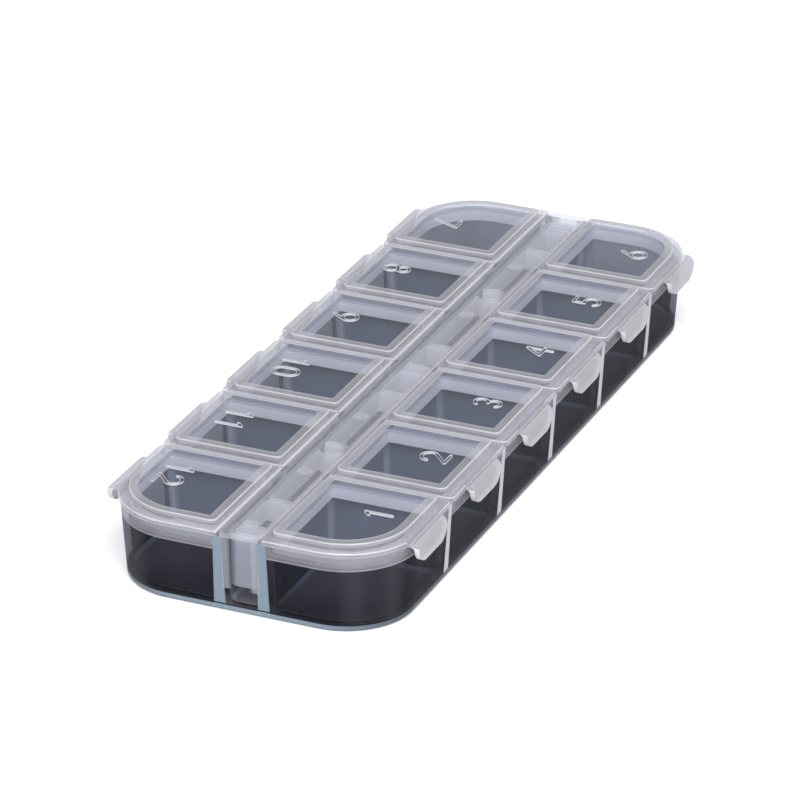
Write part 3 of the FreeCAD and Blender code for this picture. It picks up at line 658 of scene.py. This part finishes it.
# %% White paper floor
FLOOR_DROP = 0.05
FLOOR_HALF = 3.0
PAPER_LIFT = 0.2
PAPER_COLOUR = "#FAFAFA"
corners = [(x * FLOOR_HALF, y * FLOOR_HALF) for x, y in ((-1, -1), (1, -1), (1, 1), (-1, 1))]
floor_mesh = bpy.data.meshes.new("studio_floor")
floor_mesh.from_pydata([(x, y, -FLOOR_DROP * MM) for x, y in corners], [], [(0, 1, 2, 3)])
floor = bpy.data.objects.new("studio_floor", floor_mesh)
bpy.context.scene.collection.objects.link(floor)
# Matt uncoated paper: an even white that shows soft shadows and no gloss.
paper, tree = new_material("white_paper")
sheet = add(tree, "BsdfDiffuse", {"Color": linear(PAPER_COLOUR)})
seen = add(tree, "LightPath", {}).outputs["Is Camera Ray"]
lift = add(tree, "Math", {0: seen, 1: PAPER_LIFT}, operation="MULTIPLY")
glow = add(tree, "Emission", {"Color": linear(WHITE), "Strength": lift})
lifted = add(tree, "AddShader", {0: sheet, 1: glow})
add(tree, "OutputMaterial", {"Surface": lifted})
floor.data.materials.append(paper)
print("floor", 2 * FLOOR_HALF, "m wide")

# %% [markdown]
# The world is white where the camera, a reflection or a clear wall shows it, and
# lights the object at a plain level. One large lamp above the near right corner
# models the edges.

# %% World and lamp
WORLD_LEVEL = 0.45
world = bpy.data.worlds.new("studio")
world.use_nodes = True
world.node_tree.nodes.clear()
tree = world.node_tree
ray = add(tree, "LightPath", {}).outputs
seen = add(tree, "Math", {0: ray["Is Camera Ray"], 1: ray["Is Glossy Ray"]}, operation="MAXIMUM")
seen = add(tree, "Math", {0: seen, 1: ray["Is Transmission Ray"]}, operation="MAXIMUM")
strength = add(tree, "MapRange", {0: seen, 1: 0.0, 2: 1.0, 3: WORLD_LEVEL, 4: 1.0})
sky = add(tree, "Background", {"Color": linear(WHITE), "Strength": strength})
add(tree, "OutputWorld", {"Surface": sky})
bpy.context.scene.world = world

LAMP_WATTS = 13.0
LAMP_PLACE = (0.35, -0.55, 0.85)
LAMP_SIZE = (0.9, 0.7)
lamp_data = bpy.data.lights.new("softbox", "AREA")
lamp_data.shape = "RECTANGLE"
lamp_data.size, lamp_data.size_y = LAMP_SIZE
lamp_data.energy = LAMP_WATTS
lamp = bpy.data.objects.new("softbox", lamp_data)
lamp.location = LAMP_PLACE
lamp.rotation_mode = "QUATERNION"
lamp.rotation_quaternion = (-lamp.location).to_track_quat("-Z", "Y")
bpy.context.scene.collection.objects.link(lamp)
print("lamp watts", lamp_data.energy)

# %% [markdown]
# The camera stands where the photograph was taken: near the end of lid 1, a little
# to the right, looking down about 25 degrees through a long lens.

# %% Camera
AZIMUTH = 23.52
ELEVATION = 25.26
CAMERA_PLACE = (273.7, -634.8, 333.2)
FOCAL_PIXELS = 4875.5
IMAGE_WIDTH = 800
SENSOR_WIDTH = 36.0
CLEAR_LAYERS = 24
camera_data = bpy.data.cameras.new("camera")
camera_data.sensor_width = SENSOR_WIDTH
camera_data.lens = FOCAL_PIXELS * SENSOR_WIDTH / IMAGE_WIDTH
camera = bpy.data.objects.new("camera", camera_data)
turn, tilt = math.radians(AZIMUTH), math.radians(ELEVATION)
back = Vector((math.sin(turn) * math.cos(tilt), -math.cos(turn) * math.cos(tilt), math.sin(tilt)))
camera.location = Vector(CAMERA_PLACE) * MM
camera.rotation_mode = "QUATERNION"
camera.rotation_quaternion = (-back).to_track_quat("-Z", "Y")
bpy.context.scene.collection.objects.link(camera)
bpy.context.scene.camera = camera
bpy.context.scene.view_settings.view_transform = "Standard"
bpy.context.scene.cycles.transparent_max_bounces = CLEAR_LAYERS
print("lens in mm", round(camera_data.lens, 1))
